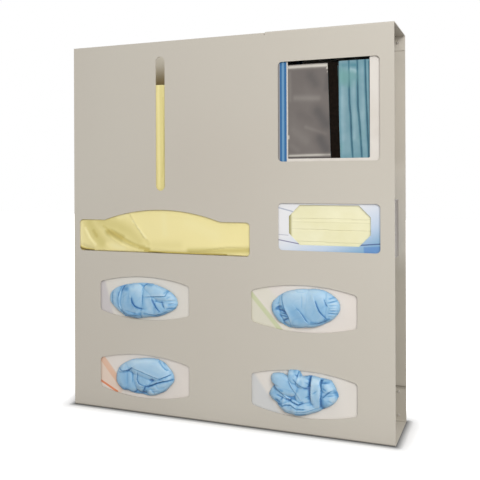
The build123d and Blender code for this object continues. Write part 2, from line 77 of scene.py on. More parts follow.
class Finish:
    """A material being built from nodes that read Object coordinates, in metres."""

    def __init__(self, name, colour, roughness=0.5, **looks):
        self.material = bpy.data.materials.new(name)
        self.material.use_nodes = True
        self.tree = self.material.node_tree
        self.shader = self.tree.nodes["Principled BSDF"]
        self.shader.inputs["Base Color"].default_value = colour
        self.shader.inputs["Roughness"].default_value = roughness
        for look, value in looks.items():
            self.shader.inputs[look.replace("_", " ")].default_value = value
        self.coordinates = self.tree.nodes.new("ShaderNodeTexCoord").outputs["Object"]
        self.axes = None
        self.height = None

    def node(self, kind, **settings):
        made = self.tree.nodes.new(kind)
        for name, value in settings.items():
            setattr(made, name, value)
        return made

    def feed(self, socket, value):
        """Set a socket, or link it where the value comes from another node."""
        if hasattr(value, "links"):
            self.tree.links.new(value, socket)
        else:
            socket.default_value = value

    def math(self, operation, *values, clamp=False):
        made = self.node("ShaderNodeMath", operation=operation, use_clamp=clamp)
        for socket, value in zip(made.inputs, values):
            self.feed(socket, value)
        return made.outputs[0]

    def times(self, first, second):
        return self.math("MULTIPLY", first, second)

    def axis(self, letter):
        """One coordinate in millimetres."""
        if self.axes is None:
            split = self.node("ShaderNodeSeparateXYZ")
            self.feed(split.inputs[0], self.coordinates)
            self.axes = {name: self.times(split.outputs[name], 1000) for name in "XYZ"}
        return self.axes[letter]

    def attribute(self, name):
        """A value kept on the piece's own points."""
        return self.node("ShaderNodeAttribute", attribute_name=name).outputs["Fac"]

    def shaded(self, noise, amount):
        """The painted shade kept on the piece, with a faint cloud over it."""
        return self.math("ADD", self.attribute("shade"), self.times(noise, amount))

    def noise(self, scale, detail=2, stretch=(1, 1, 1), rough=0.5):
        mapping = self.node("ShaderNodeMapping")
        mapping.inputs["Scale"].default_value = stretch
        self.feed(mapping.inputs["Vector"], self.coordinates)
        noise = self.node("ShaderNodeTexNoise")
        noise.inputs["Scale"].default_value = scale
        noise.inputs["Detail"].default_value = detail
        noise.inputs["Roughness"].default_value = rough
        self.feed(noise.inputs["Vector"], mapping.outputs["Vector"])
        return noise.outputs["Fac"]

    def ramp(self, factor, *stops):
        ramp = self.node("ShaderNodeValToRGB")
        elements = ramp.color_ramp.elements
        while len(elements) < len(stops):
            elements.new(0.5)
        for element, (position, colour) in zip(elements, stops):
            element.position = position
            element.color = colour
        self.feed(ramp.inputs["Fac"], factor)
        return ramp.outputs["Color"]

    def step(self, value, start, end):
        """0 before start and 1 after end, smoothly."""
        made = self.node("ShaderNodeMapRange", interpolation_type="SMOOTHSTEP")
        made.inputs["From Min"].default_value = start
        made.inputs["From Max"].default_value = end
        self.feed(made.inputs["Value"], value)
        return made.outputs["Result"]

    def fade(self, value, start, end):
        """1 before start and 0 after end, smoothly."""
        return self.math("SUBTRACT", 1, self.step(value, start, end))

    def band(self, value, centre, half, soft):
        """1 inside a band, falling to 0 over its soft edge."""
        off = self.math("ABSOLUTE", self.math("SUBTRACT", value, centre))
        return self.fade(off, half, half + soft)

    def line(self, start, end, half, soft):
        """1 on a straight stroke between two places on the front, given in millimetres."""
        run = math.hypot(end[0] - start[0], end[1] - start[1])
        along_x, along_z = (end[0] - start[0]) / run, (end[1] - start[1]) / run
        x = self.math("SUBTRACT", self.axis("X"), start[0])
        z = self.math("SUBTRACT", self.axis("Z"), start[1])
        along = self.math("ADD", self.times(x, along_x), self.times(z, along_z))
        across = self.math("SUBTRACT", self.times(x, along_z), self.times(z, along_x))
        inside = self.band(along, run / 2, run / 2, soft)
        return self.times(inside, self.band(across, 0, half, soft))

    def tint(self, base, colour, amount):
        """base, turned towards colour where amount is 1."""
        mix = self.node("ShaderNodeMix", data_type="RGBA")
        self.feed(mix.inputs["Factor"], amount)
        self.feed(mix.inputs["A"], base)
        self.feed(mix.inputs["B"], colour)
        return mix.outputs["Result"]

    def painted(self, base, strokes):
        """base under soft strokes: start, end, half width, soft edge, colour and strength."""
        for start, end, half, soft, colour, strength in strokes:
            base = self.tint(base, colour, self.times(self.line(start, end, half, soft), strength))
        return base

    def colour(self, value):
        self.feed(self.shader.inputs["Base Color"], value)

    def spread(self, value, low, high, reach=1):
        """low at 0 and high at reach, in a straight line between."""
        made = self.node("ShaderNodeMapRange")
        made.inputs["From Max"].default_value = reach
        made.inputs["To Min"].default_value = low
        made.inputs["To Max"].default_value = high
        self.feed(made.inputs["Value"], value)
        return made.outputs["Result"]

    def rough(self, factor, low, high):
        self.feed(self.shader.inputs["Roughness"], self.spread(factor, low, high))

    def bump(self, height, strength, distance):
        """Add a layer of relief over what is there."""
        bump = self.node("ShaderNodeBump")
        bump.inputs["Strength"].default_value = strength
        bump.inputs["Distance"].default_value = distance
        self.feed(bump.inputs["Height"], height)
        if self.height is not None:
            self.feed(bump.inputs["Normal"], self.height)
        self.height = bump.outputs["Normal"]
        self.feed(self.shader.inputs["Normal"], self.height)

    def put_on(self, *targets):
        for target in targets:
            piece = nodes[target] if isinstance(target, str) else target
            piece.data.materials.clear()
            piece.data.materials.append(self.material)


# Coated steel, satin, with a faint orange-peel texture and a painted shadow line along the rear lip
steel = Finish("coated_steel", srgb(198, 191, 179), 0.42)
tone = steel.noise(3.2, 1)
steel_base = steel.ramp(tone, (0.3, srgb(197, 190, 178)), (0.7, srgb(200, 194, 182)))
inner = steel.band(steel.axis("Y"), 55, 4, 0.5)
# Painted shadow: a thin dark line along the rear lip, about 60 mm up the back panel's inner face
lip_shadow = steel.times(steel.band(steel.axis("Z"), 60.6, 0.5, 0.3), inner)
steel_base = steel.tint(steel_base, srgb(110, 104, 94), lip_shadow)
# Inside the open right side, and over the gowns, the cabinet is in its own shade
right_side = steel.times(inner, steel.step(steel.axis("X"), 255, 275))
low_down = steel.times(steel.fade(steel.axis("Z"), 250, 300), 0.52)
high_up = steel.times(steel.band(steel.axis("Z"), 535, 80, 30), 0.26)
right_shade = steel.times(right_side, steel.math("ADD", low_down, high_up))
steel_base = steel.tint(steel_base, srgb(150, 144, 130), right_shade)
over_gowns = steel.times(inner, steel.band(steel.axis("Z"), 580, 16, 50))
over_gowns = steel.times(over_gowns, steel.band(steel.axis("X"), -110, 170, 10))
steel_base = steel.tint(steel_base, srgb(138, 120, 82), over_gowns)
steel.colour(steel_base)
steel.rough(steel.noise(60, 3), 0.38, 0.48)
steel.bump(steel.noise(500, 2), 0.04, 0.0002)
steel.put_on("front_panel", "back_panel", "mid_shelf", "left_glove_shelf", "right_glove_shelf",
             "shield_shelf", "glove_divider", "gown_wall", "column_divider")
rivet_metal = Finish("rivet_metal", srgb(160, 156, 148), 0.4, Metallic=0.35)
rivet_tone = rivet_metal.noise(400, 2)
rivet_metal.colour(rivet_metal.ramp(rivet_tone, (0.3, srgb(166, 160, 150)), (0.7, srgb(206, 202, 194))))
rivet_metal.put_on("floor_rivets", "top_rivets")


def glove_card(name, ground, fields):
    """Coated card with soft fields of colour."""
    card = Finish(name, ground, 0.42)
    base = card.ramp(card.noise(30, 2), (0.35, ground), (0.65, tuple(c * 1.03 for c in ground[:3]) + (1,)))
    card.colour(card.painted(base, fields))
    card.bump(card.noise(260, 3), 0.1, 0.0002)
    return card


glove_card("glove_card_upper_left", srgb(222, 217, 208), [
    ((-252, 262), (-220, 150), 9, 8, srgb(186, 180, 188), 0.55),
    ((-230, 160), (-205, 148), 10, 8, srgb(190, 184, 188), 0.5),
]).put_on("glove_carton_upper_left")
glove_card("glove_card_upper_right", srgb(228, 220, 212), [
    ((56, 250), (124, 174), 8, 8, srgb(220, 219, 196), 0.4),
    ((24, 222), (96, 142), 20, 4, srgb(212, 211, 186), 0.6),
    ((40, 240), (112, 160), 2, 3.5, srgb(188, 200, 140), 0.65),
]).put_on("glove_carton_upper_right")
glove_card("glove_card_lower_left", srgb(225, 217, 209), [
    ((-266, 88), (-196, 36), 12, 5, srgb(230, 203, 182), 0.7),
    ((-254, 110), (-196, 44), 4.5, 2.5, srgb(226, 178, 146), 0.75),
    ((-246, 51.5), (-204, 31), 1.3, 1.2, srgb(222, 118, 56), 0.85),
]).put_on("glove_carton_lower_left")
glove_card("glove_card_lower_right", srgb(226, 220, 212), [
    ((36, 92), (90, 20), 14, 8, srgb(200, 203, 205), 0.7),
]).put_on("glove_carton_lower_right")

# Card of the mask carton, pale above and blue towards its lower right corner
mask_card = Finish("mask_card", srgb(226, 228, 232), 0.38)
slant = mask_card.math("ADD", mask_card.times(mask_card.axis("X"), 0.45),
                       mask_card.times(mask_card.axis("Z"), -1))
mask_base = mask_card.tint(srgb(236, 236, 238), srgb(196, 212, 232), mask_card.step(slant, -280, -215))
mask_base = mask_card.tint(mask_base, srgb(130, 172, 204), mask_card.step(slant, -228, -186))
mask_base = mask_card.painted(mask_base, [
    ((96, 370), (128, 362), 0.6, 0.8, srgb(150, 160, 182), 0.7),
    ((96, 316.5), (138, 309.5), 0.5, 0.7, srgb(92, 86, 130), 0.8),
    ((103, 324), (120, 323), 0.4, 0.7, srgb(150, 150, 170), 0.5),
    ((232, 309.5), (276, 313.5), 0.6, 0.8, srgb(40, 60, 120), 0.8),
    ((246, 302), (276, 304), 4, 3, srgb(70, 120, 190), 0.6),
])
# Painted shade: the carton's right end, seen through the open side, is darkened grey-brown
mask_end_shade = mask_card.step(mask_card.axis("X"), 283.6, 284)
mask_card.colour(mask_card.tint(mask_base, srgb(118, 108, 100), mask_end_shade))
mask_card.bump(mask_card.noise(260, 3), 0.08, 0.0002)
mask_card.put_on("mask_carton")

shield_card = Finish("shield_card", srgb(220, 213, 203), 0.45)
shield_tone = shield_card.noise(24, 2)
shield_base = shield_card.ramp(shield_tone, (0.35, srgb(217, 210, 201)), (0.65, srgb(223, 217, 209)))
# Painted shade: a grey strip along the carton's left edge, where the gap behind the window lies in shadow
left_edge_shade = shield_card.fade(shield_card.axis("X"), 106, 106.8)
shield_base = shield_card.tint(shield_base, srgb(150, 146, 144), left_edge_shade)
blue_band = shield_card.band(shield_card.axis("X"), 112.1, 5.7, 0.4)
shield_base = shield_card.tint(shield_base, srgb(34, 98, 150), blue_band)
band_middle = shield_card.band(shield_card.axis("X"), 111.8, 1.5, 0.9)
shield_base = shield_card.tint(shield_base, srgb(104, 150, 186), band_middle)
shield_card.colour(shield_base)
shield_card.bump(shield_card.noise(260, 3), 0.1, 0.0002)
shield_card.put_on("shield_carton")


def bare_grid(name, columns, rows):
    """A flat grid of one unit, ready to be shaped."""
    clear_selection()
    bpy.ops.mesh.primitive_grid_add(x_subdivisions=columns, y_subdivisions=rows, size=2, location=(0, 0, 0))
    piece = bpy.context.object
    piece.name = name
    return piece


def places(piece):
    """Where a piece's points lie, as one run of x, y and z."""
    flat = np.empty(len(piece.data.vertices) * 3)
    piece.data.vertices.foreach_get("co", flat)
    return flat


def grid_values(piece):
    """Grid parameters of each point, from -1 to 1."""
    flat = places(piece)
    return flat[0::3].copy(), flat[1::3].copy()


def move_to(piece, x, y, z):
    """Put each point at its place, in millimetres."""
    piece.data.vertices.foreach_set("co", (np.stack([x, y, z], axis=1) * MM).ravel())
    piece.data.update()


def face_outwards(piece):
    pick(piece)
    bpy.ops.object.mode_set(mode="EDIT")
    bpy.ops.mesh.select_all(action="SELECT")
    bpy.ops.mesh.remove_doubles(threshold=0.00002)
    bpy.ops.mesh.normals_make_consistent(inside=False)
    bpy.ops.object.mode_set(mode="OBJECT")


def smooth(piece, degrees=60):
    pick(piece)
    bpy.ops.object.shade_smooth_by_angle(angle=math.radians(degrees))
    clear_selection()


def thicken(piece, amount, offset=-1):
    """Give a sheet its thickness."""
    pick(piece)
    solid = piece.modifiers.new("thickness", "SOLIDIFY")
    solid.thickness = amount * MM
    solid.offset = offset
    bpy.ops.object.modifier_apply(modifier=solid.name)
    clear_selection()


def waves(x, z, scale, seed):
    """Gentle seeded ripples between -1 and 1."""
    random = np.random.default_rng(seed)
    total = np.zeros_like(x)
    for k in range(7):
        turn, phase = random.uniform(0, 2 * math.pi, 2)
        stretch = scale * random.uniform(0.6, 1.7)
        total += np.sin((x * math.cos(turn) + z * math.sin(turn)) / stretch + phase)
    return total / 7 * 1.6


def nearest(x, z, path):
    """Distance to a path, how far to its left a point is, and the share of the path passed."""
    best = np.full_like(x, 1e9)
    side = np.zeros_like(x)
    share = np.zeros_like(x)
    runs = [math.dist(a, b) for a, b in zip(path, path[1:])]
    passed = 0
    for (ax, az), (bx, bz), run in zip(path, path[1:], runs):
        dx, dz = (bx - ax) / run, (bz - az) / run
        along = np.clip((x - ax) * dx + (z - az) * dz, 0, run)
        off_x, off_z = x - ax - along * dx, z - az - along * dz
        distance = np.hypot(off_x, off_z)
        closer = distance < best
        best = np.where(closer, distance, best)
        side = np.where(closer, dx * off_z - dz * off_x, side)
        share = np.where(closer, (passed + along) / sum(runs), share)
        passed += run
    return best, side, share


def lobe(x, z, centre, half, lean, rise):
    """A flattened fold of film standing out to its rise."""
    across = (x - centre[0]) * math.cos(lean) + (z - centre[1]) * math.sin(lean)
    up = (z - centre[1]) * math.cos(lean) - (x - centre[0]) * math.sin(lean)
    out = (across / half[0]) ** 2 + (up / half[1]) ** 2
    return rise * np.clip(1 - out**1.5, 0, None) ** 0.5


def taper(share, margin, power):
    """1 in the middle of a path, and low at its two ends."""
    return np.sin(np.clip(share, margin, 1 - margin) * math.pi) ** power


def overlap(x, z, path, step, lip=6, pit=1.6):
    """One layer lying over another: high on the path's right, with its lip, and low on its left."""
    distance, side, share = nearest(x, z, path)
    high = np.exp(-distance / lip)
    low = -0.4 * np.exp(-((distance / pit) ** 2))
    return step * taper(share, 0.03, 0.5) * np.where(side > 0, low, high)


def furrow(x, z, path, depth, width):
    """A soft valley along a path, or a ridge where its depth is negative."""
    distance, side, share = nearest(x, z, path)
    return -depth * taper(share, 0.03, 0.6) * np.exp(-((distance / width) ** 2))


def nip(x, z, path, depth, width):
    """A sharp crease along a path, as in thin film."""
    distance, side, share = nearest(x, z, path)
    return -depth * taper(share, 0.05, 0.6) * np.exp(-distance / width)


def ridges(x, z, scale, seed):
    """Sharp crests that wander between soft hollows, from about -1 to 1."""
    return 1 - 2 * np.minimum(np.abs(waves(x, z, scale, seed)) * 1.6, 1)


def stroke(x, z, path, width):
    """1 along a path, fading over its width."""
    distance, side, share = nearest(x, z, path)
    return np.exp(-((distance / width) ** 2))


def blurred(field, reach):
    """A field on a grid of rows and columns, averaged over its neighbours."""
    for axis in (0, 1):
        total = np.zeros_like(field)
        count = field.shape[axis]
        for k in range(-reach, reach + 1):
            total += np.take(field, np.clip(np.arange(count) + k, 0, count - 1), axis=axis)
        field = total / (2 * reach + 1)
    return field


def keep_shade(piece, shade):
    """Keep one value for each point, from 0 to 1."""
    layer = piece.data.attributes.new("shade", "FLOAT", "POINT")
    layer.data.foreach_set("value", np.clip(shade, 0, 1))


def shade_of(piece, columns, height, extra, within=1):
    """Keep how deep in its folds each point lies, for the material to paint as shade: 0 on crests, 1 in
    creases.
    """
    grid = height.reshape(-1, columns)
    hollow = (blurred(grid, 3) - grid) * 0.3 + (blurred(grid, 9) - grid) * 0.12
    keep_shade(piece, 0.5 + np.clip(hollow.ravel(), -0.22, 0.3) * within + extra)


def shade_by_tones(piece, tones, ground=0.35):
    """Keep the painted shade of each point, from strokes: path, width, how much darker than the ground, or
    lighter as painted highlight where negative.
    """
    flat = places(piece)
    x, z = flat[0::3] / MM, flat[2::3] / MM
    darker, lighter = np.zeros_like(x), np.zeros_like(x)
    for path, width, amount in tones:
        mark = amount * stroke(x, z, path, width)
        darker, lighter = np.maximum(darker, mark), np.minimum(lighter, mark)
    keep_shade(piece, ground + darker + lighter)


def sway(piece, amount, middle, half):
    """Lean a piece over to the left at its top and to the right at its foot, in millimetres."""
    flat = places(piece)
    flat[0::3] -= amount * MM * (flat[2::3] / MM - middle) / half
    piece.data.vertices.foreach_set("co", flat)
    piece.data.update()


# Gloves: what stands out of each carton's oval. Places are in millimetres on the front.
# Lobes: centre, half sizes, lean, rise. Layers: path with its low side on the left, step, lip.
# Creases: path, depth, width. Crumpled: place, reach, amount. Tones: path, width, how much darker, as
# painted shade in creases, or painted highlight where negative.
glove_folds = {}
glove_folds["upper_left"] = {
    "oval": (-148.45, 197.3),
    "outline": [
        (-218, 200), (-215, 212), (-205, 220), (-195, 224), (-180, 228), (-165, 230.5), (-145, 232),
        (-130, 231), (-115, 227), (-100, 221), (-90, 215), (-83, 207), (-81.5, 200), (-84, 191), (-90, 186),
        (-100, 181), (-113, 175.5), (-120, 173), (-135, 172), (-150, 169), (-158, 167), (-170, 168.5),
        (-187, 170), (-195, 176), (-205, 183), (-213, 190), (-217, 195),
    ],
    "lobes": [
        ((-208, 200), (14, 26), 0, 4), ((-198, 200), (15, 32), 0, 6.5), ((-166, 199), (29, 33), 0, 10),
        ((-138, 196), (24, 30), 0, 8.5), ((-112, 216), (36, 17), -0.15, 8.5),
        ((-110, 192), (30, 19), 0.1, 7.5),
    ],
    "layers": [
        ([(-207, 188), (-209, 200), (-207, 214)], 1.6, 5),
        ([(-150, 174), (-175, 174.5), (-189, 181), (-195, 190), (-195.5, 202), (-193, 214),
          (-190, 222)], 2.4, 6),
        ([(-168, 206), (-166, 197), (-161, 191), (-154, 187.5), (-146, 186)], 2.2, 5),
        ([(-98, 221), (-102, 212), (-120, 210.5), (-139, 209)], 2.2, 7),
        ([(-87, 190), (-98, 186), (-108, 181), (-122, 177), (-142, 180)], 1.6, 6),
        ([(-129, 206), (-124, 196), (-119, 189), (-113, 183)], 1.8, 5),
        ([(-145, 222), (-147, 207), (-146, 192)], 0.8, 8),
    ],
    "creases": [
        ([(-124, 202), (-115, 200.5), (-105, 200)], 1.4, 1.4),
        ([(-108, 201), (-106, 194), (-102, 189)], 1.2, 1.4), ([(-100, 207), (-90, 212)], 0.8, 1.3),
        ([(-98, 197), (-85, 199)], 1.2, 1.2), ([(-100, 190), (-86, 191)], 1.6, 1.5),
        ([(-96, 203), (-84, 204)], 0.7, 1.2), ([(-180, 182), (-158, 178)], 0.8, 1.6),
        ([(-172, 220), (-174, 200)], 0.5, 3), ([(-184, 212), (-186, 192)], 0.5, 3),
    ],
    "crumpled": [(-206, 200, 12, 0.5), (-98, 198, 16, 0.4), (-150, 176, 16, 0.3), (-186, 222, 10, 0.5)],
    "tones": [
        ([(-209, 210), (-208, 192)], 3, 0.2), ([(-190, 220), (-178, 221)], 5, 0.36),
        ([(-172, 227), (-166, 226)], 3, 0.2), ([(-195, 212), (-195, 188)], 2.4, 0.26),
        ([(-190, 181), (-175, 175), (-152, 176)], 3.5, 0.36), ([(-186, 170.5), (-160, 169)], 2, 0.3),
        ([(-167, 204), (-163, 192), (-148, 186)], 2.2, 0.34), ([(-178, 214), (-160, 190)], 9, 0.06),
        ([(-168, 222), (-152, 218)], 9, -0.14), ([(-145, 218), (-144, 190)], 4, 0.1),
        ([(-136, 200), (-131, 188)], 5, -0.18), ([(-142, 229), (-130, 228)], 2.5, 0.26),
        ([(-130, 219), (-108, 217)], 5, -0.1), ([(-137, 209.5), (-106, 212)], 1.2, 0.14),
        ([(-102, 217), (-99, 219)], 2.5, 0.3), ([(-123, 206), (-108, 206)], 3, -0.08),
        ([(-127, 203), (-120, 190), (-114, 184)], 2.2, 0.36), ([(-118, 196), (-110, 194)], 4, -0.06),
        ([(-109, 200), (-105, 194)], 2.5, 0.22), ([(-98, 189), (-86, 190.5)], 2, 0.3),
        ([(-96, 195), (-85, 197)], 1.5, 0.18), ([(-93, 207), (-86, 203)], 4, -0.1),
        ([(-142, 178), (-122, 175), (-102, 183)], 3.5, 0.24), ([(-170, 180), (-150, 182)], 3, -0.06),
    ],
}
glove_folds["lower_left"] = {
    "oval": (-146.95, 63.6),
    "outline": [
        (-205, 60), (-203, 70), (-198, 78), (-190, 84.5), (-180, 90), (-170, 94.5), (-155, 97), (-140, 99),
        (-120, 98.5), (-110, 95), (-100, 87), (-92, 78), (-88.5, 70), (-90, 60), (-95, 54), (-100, 48.5),
        (-106, 43), (-115, 38.5), (-125, 34), (-138, 31.5), (-150, 33.5), (-168, 33.5), (-180, 37.5),
        (-190, 37), (-198, 43), (-204, 50),
    ],
    "lobes": [
        ((-140, 83), (54, 23), -0.22, 9.5), ((-186, 79), (18, 11), 0.3, 8), ((-182, 55), (26, 24), 0.1, 7),
        ((-148, 62), (24, 24), 0, 7), ((-112, 51), (32, 19), 0.35, 7.5), ((-104, 67), (17, 12), 0.4, 7),
    ],
    "layers": [
        ([(-108, 65.5), (-115, 67), (-130, 71), (-150, 77), (-167, 81)], 1.8, 8),
        ([(-118, 98), (-110, 89), (-103, 82.5), (-92, 79)], 1.6, 4),
        ([(-167, 82), (-172, 78.5), (-179, 75.5), (-187, 74), (-195, 77.5)], 2.4, 6),
        ([(-157, 75), (-158.5, 60), (-155, 53.5), (-148, 51), (-138, 51)], 1.2, 7),
        ([(-89, 66.5), (-105, 63.5), (-118, 59.5), (-127, 55), (-137, 51.5), (-147, 49)], 2.8, 7),
        ([(-92, 75.5), (-103, 71), (-112, 67)], 1.6, 4), ([(-141, 52), (-144, 46), (-151, 36)], 1.4, 5),
    ],
    "creases": [
        ([(-111, 94), (-104, 86), (-98, 82)], 0.9, 1.3), ([(-178, 74), (-178, 48)], 0.7, 2.2),
        ([(-169, 77), (-167, 55)], 0.8, 1.8), ([(-163, 76), (-162, 62)], 0.4, 1.6),
        ([(-132, 62), (-124, 63)], 2.4, 2), ([(-118, 62), (-96, 69)], 0.6, 1.2),
        ([(-110, 49), (-98, 55)], 0.6, 1.6), ([(-136, 45), (-122, 47)], 0.8, 1.4),
        ([(-132, 40), (-112, 44)], 0.8, 1.6),
    ],
    "crumpled": [
        (-192, 42, 12, 0.4), (-115, 46, 16, 0.35), (-98, 68, 10, 0.35), (-188, 84, 9, 0.2),
        (-132, 40, 12, 0.5),
    ],
    "tones": [
        ([(-160, 90), (-112, 84)], 11, -0.16), ([(-167, 81), (-150, 77), (-130, 71), (-112, 66)], 0.9, 0.2),
        ([(-116, 95), (-108, 87), (-100, 81)], 1.3, 0.26), ([(-108, 93), (-98, 82)], 1.2, 0.24),
        ([(-102, 88), (-97, 83)], 2.5, -0.16),
        ([(-194, 76.5), (-186, 73.5), (-177, 75), (-169, 81)], 2, 0.34),
        ([(-186, 82), (-176, 86)], 4, -0.1), ([(-157, 72), (-158, 60), (-153, 53), (-140, 51)], 1.3, 0.18),
        ([(-131, 62), (-125, 63)], 2, 0.42),
        ([(-91, 65.5), (-106, 62), (-120, 57.5), (-130, 53), (-137, 51)], 2, 0.42),
        ([(-136, 52), (-128, 54)], 3, 0.2), ([(-141, 50), (-144, 44), (-149, 37)], 2.6, 0.36),
        ([(-94, 74), (-104, 70), (-112, 67)], 1.5, 0.3), ([(-192, 42), (-180, 39)], 4, 0.3),
        ([(-176, 37), (-155, 36), (-140, 40)], 3, 0.26), ([(-203, 66), (-203, 50)], 2, 0.26),
        ([(-180, 62), (-178, 48)], 9, 0.1), ([(-169, 76), (-167, 56)], 1.6, 0.12),
        ([(-120, 51), (-104, 56)], 4, -0.06), ([(-116, 39), (-104, 44)], 2.5, 0.24),
        ([(-138, 37), (-130, 38)], 2.5, -0.1), ([(-166, 64), (-163, 70)], 3, -0.08),
    ],
}
glove_folds["upper_right"] = {
    "oval": (149.05, 203.8),
    "outline": [
        (91.5, 203), (93, 212), (100, 219.5), (110, 227), (120, 232), (130, 234.5), (140, 236.5),
        (155, 237), (168, 238), (180, 236.5), (187, 233.5), (195, 229), (203, 222), (207, 213), (206, 204),
        (202, 197), (195, 190), (185, 184), (172, 178), (165, 175.5), (150, 174), (135, 172), (122, 172.5),
        (112, 177), (104, 181), (98, 188), (93, 196),
    ],
    "lobes": [
        ((101, 202), (16, 26), 0.3, 5), ((140, 207), (38, 35), 0.05, 9), ((148, 190), (36, 21), -0.25, 8.5),
        ((166, 208), (27, 34), -0.2, 9.5), ((192, 207), (19, 29), 0.1, 7.5),
    ],
    "layers": [
        ([(127, 180), (124, 190), (120, 198), (116, 207), (113, 216), (110, 228)], 2, 7),
        ([(137, 206), (142, 201), (147, 195), (152, 187), (159, 181)], 1.1, 8),
        ([(167, 222), (171, 211), (175, 203), (180, 197), (187, 190)], 1.6, 7),
        ([(191, 192), (183, 188.5), (172, 184), (160, 182.5)], 1.4, 6),
        ([(190, 211), (186, 216), (183, 224)], 1.0, 5),
    ],
    "creases": [
        ([(101, 204), (106, 207), (111, 208)], 1.5, 1.2), ([(103, 201), (112, 201), (120, 198)], 1.8, 1.4),
        ([(110, 196), (121, 195)], 1.5, 1.3), ([(110, 192), (122, 191)], 1.2, 1.3),
        ([(114, 184), (123, 189)], 1.6, 1.5), ([(100, 210), (108, 213)], 0.9, 1.3),
        ([(104, 197), (118, 181)], 0.7, 1.3), ([(146, 230), (146, 206)], 0.3, 1.6),
        ([(158, 236), (158, 218)], 0.35, 1.2), ([(160.5, 236), (161, 220)], 0.3, 1.2),
        ([(133, 234), (139, 232), (148, 232.5), (156, 235.5)], 1, 1.2),
        ([(189, 223), (199, 226)], 1.2, 1.3), ([(190, 218), (204, 221)], 1.3, 1.3),
        ([(189, 213), (205, 214)], 1, 1.2), ([(192, 209), (206, 209)], 0.9, 1.2),
        ([(193, 205), (205, 205)], 1.3, 1.2), ([(191, 201), (203, 200)], 1.3, 1.3),
        ([(188, 196), (199, 194)], 1, 1.3),
    ],
    "crumpled": [(104, 202, 11, 0.5), (196, 210, 12, 0.4), (145, 234, 9, 0.2)],
    "tones": [
        ([(111, 226), (114, 214), (118, 203)], 1.5, 0.26),
        ([(102, 203), (111, 207), (118, 199)], 2.4, 0.36), ([(109, 200), (119, 197)], 3, 0.26),
        ([(110, 192), (122, 192)], 3, 0.24), ([(115, 184), (121, 187)], 2.6, 0.32),
        ([(100, 196), (108, 184)], 5, 0.1), ([(103, 210), (106, 210)], 2, -0.14),
        ([(93, 208), (94, 198)], 2, 0.24), ([(125, 226), (150, 222)], 14, -0.18),
        ([(165, 228), (180, 224)], 8, -0.08), ([(146, 228), (146, 208)], 1, 0.08),
        ([(133, 198), (146, 184)], 9, 0.09), ([(138, 205), (147, 195), (157, 182)], 2, 0.16),
        ([(169, 219), (174, 205), (185, 192)], 1.8, 0.26),
        ([(162, 184), (174, 184.5), (184, 189), (190, 192)], 2.4, 0.36),
        ([(112, 178), (150, 176), (170, 180)], 2.4, 0.16), ([(184, 222), (187, 214)], 2, 0.24),
        ([(190, 218), (202, 221)], 1.2, 0.2), ([(193, 205), (204, 205)], 1.2, 0.2),
        ([(191, 201), (203, 200.5)], 1.3, 0.26), ([(190, 225), (198, 226)], 1.3, 0.22),
        ([(196, 215), (203, 216)], 2, -0.12), ([(180, 212), (181, 204)], 4, 0.08),
    ],
}
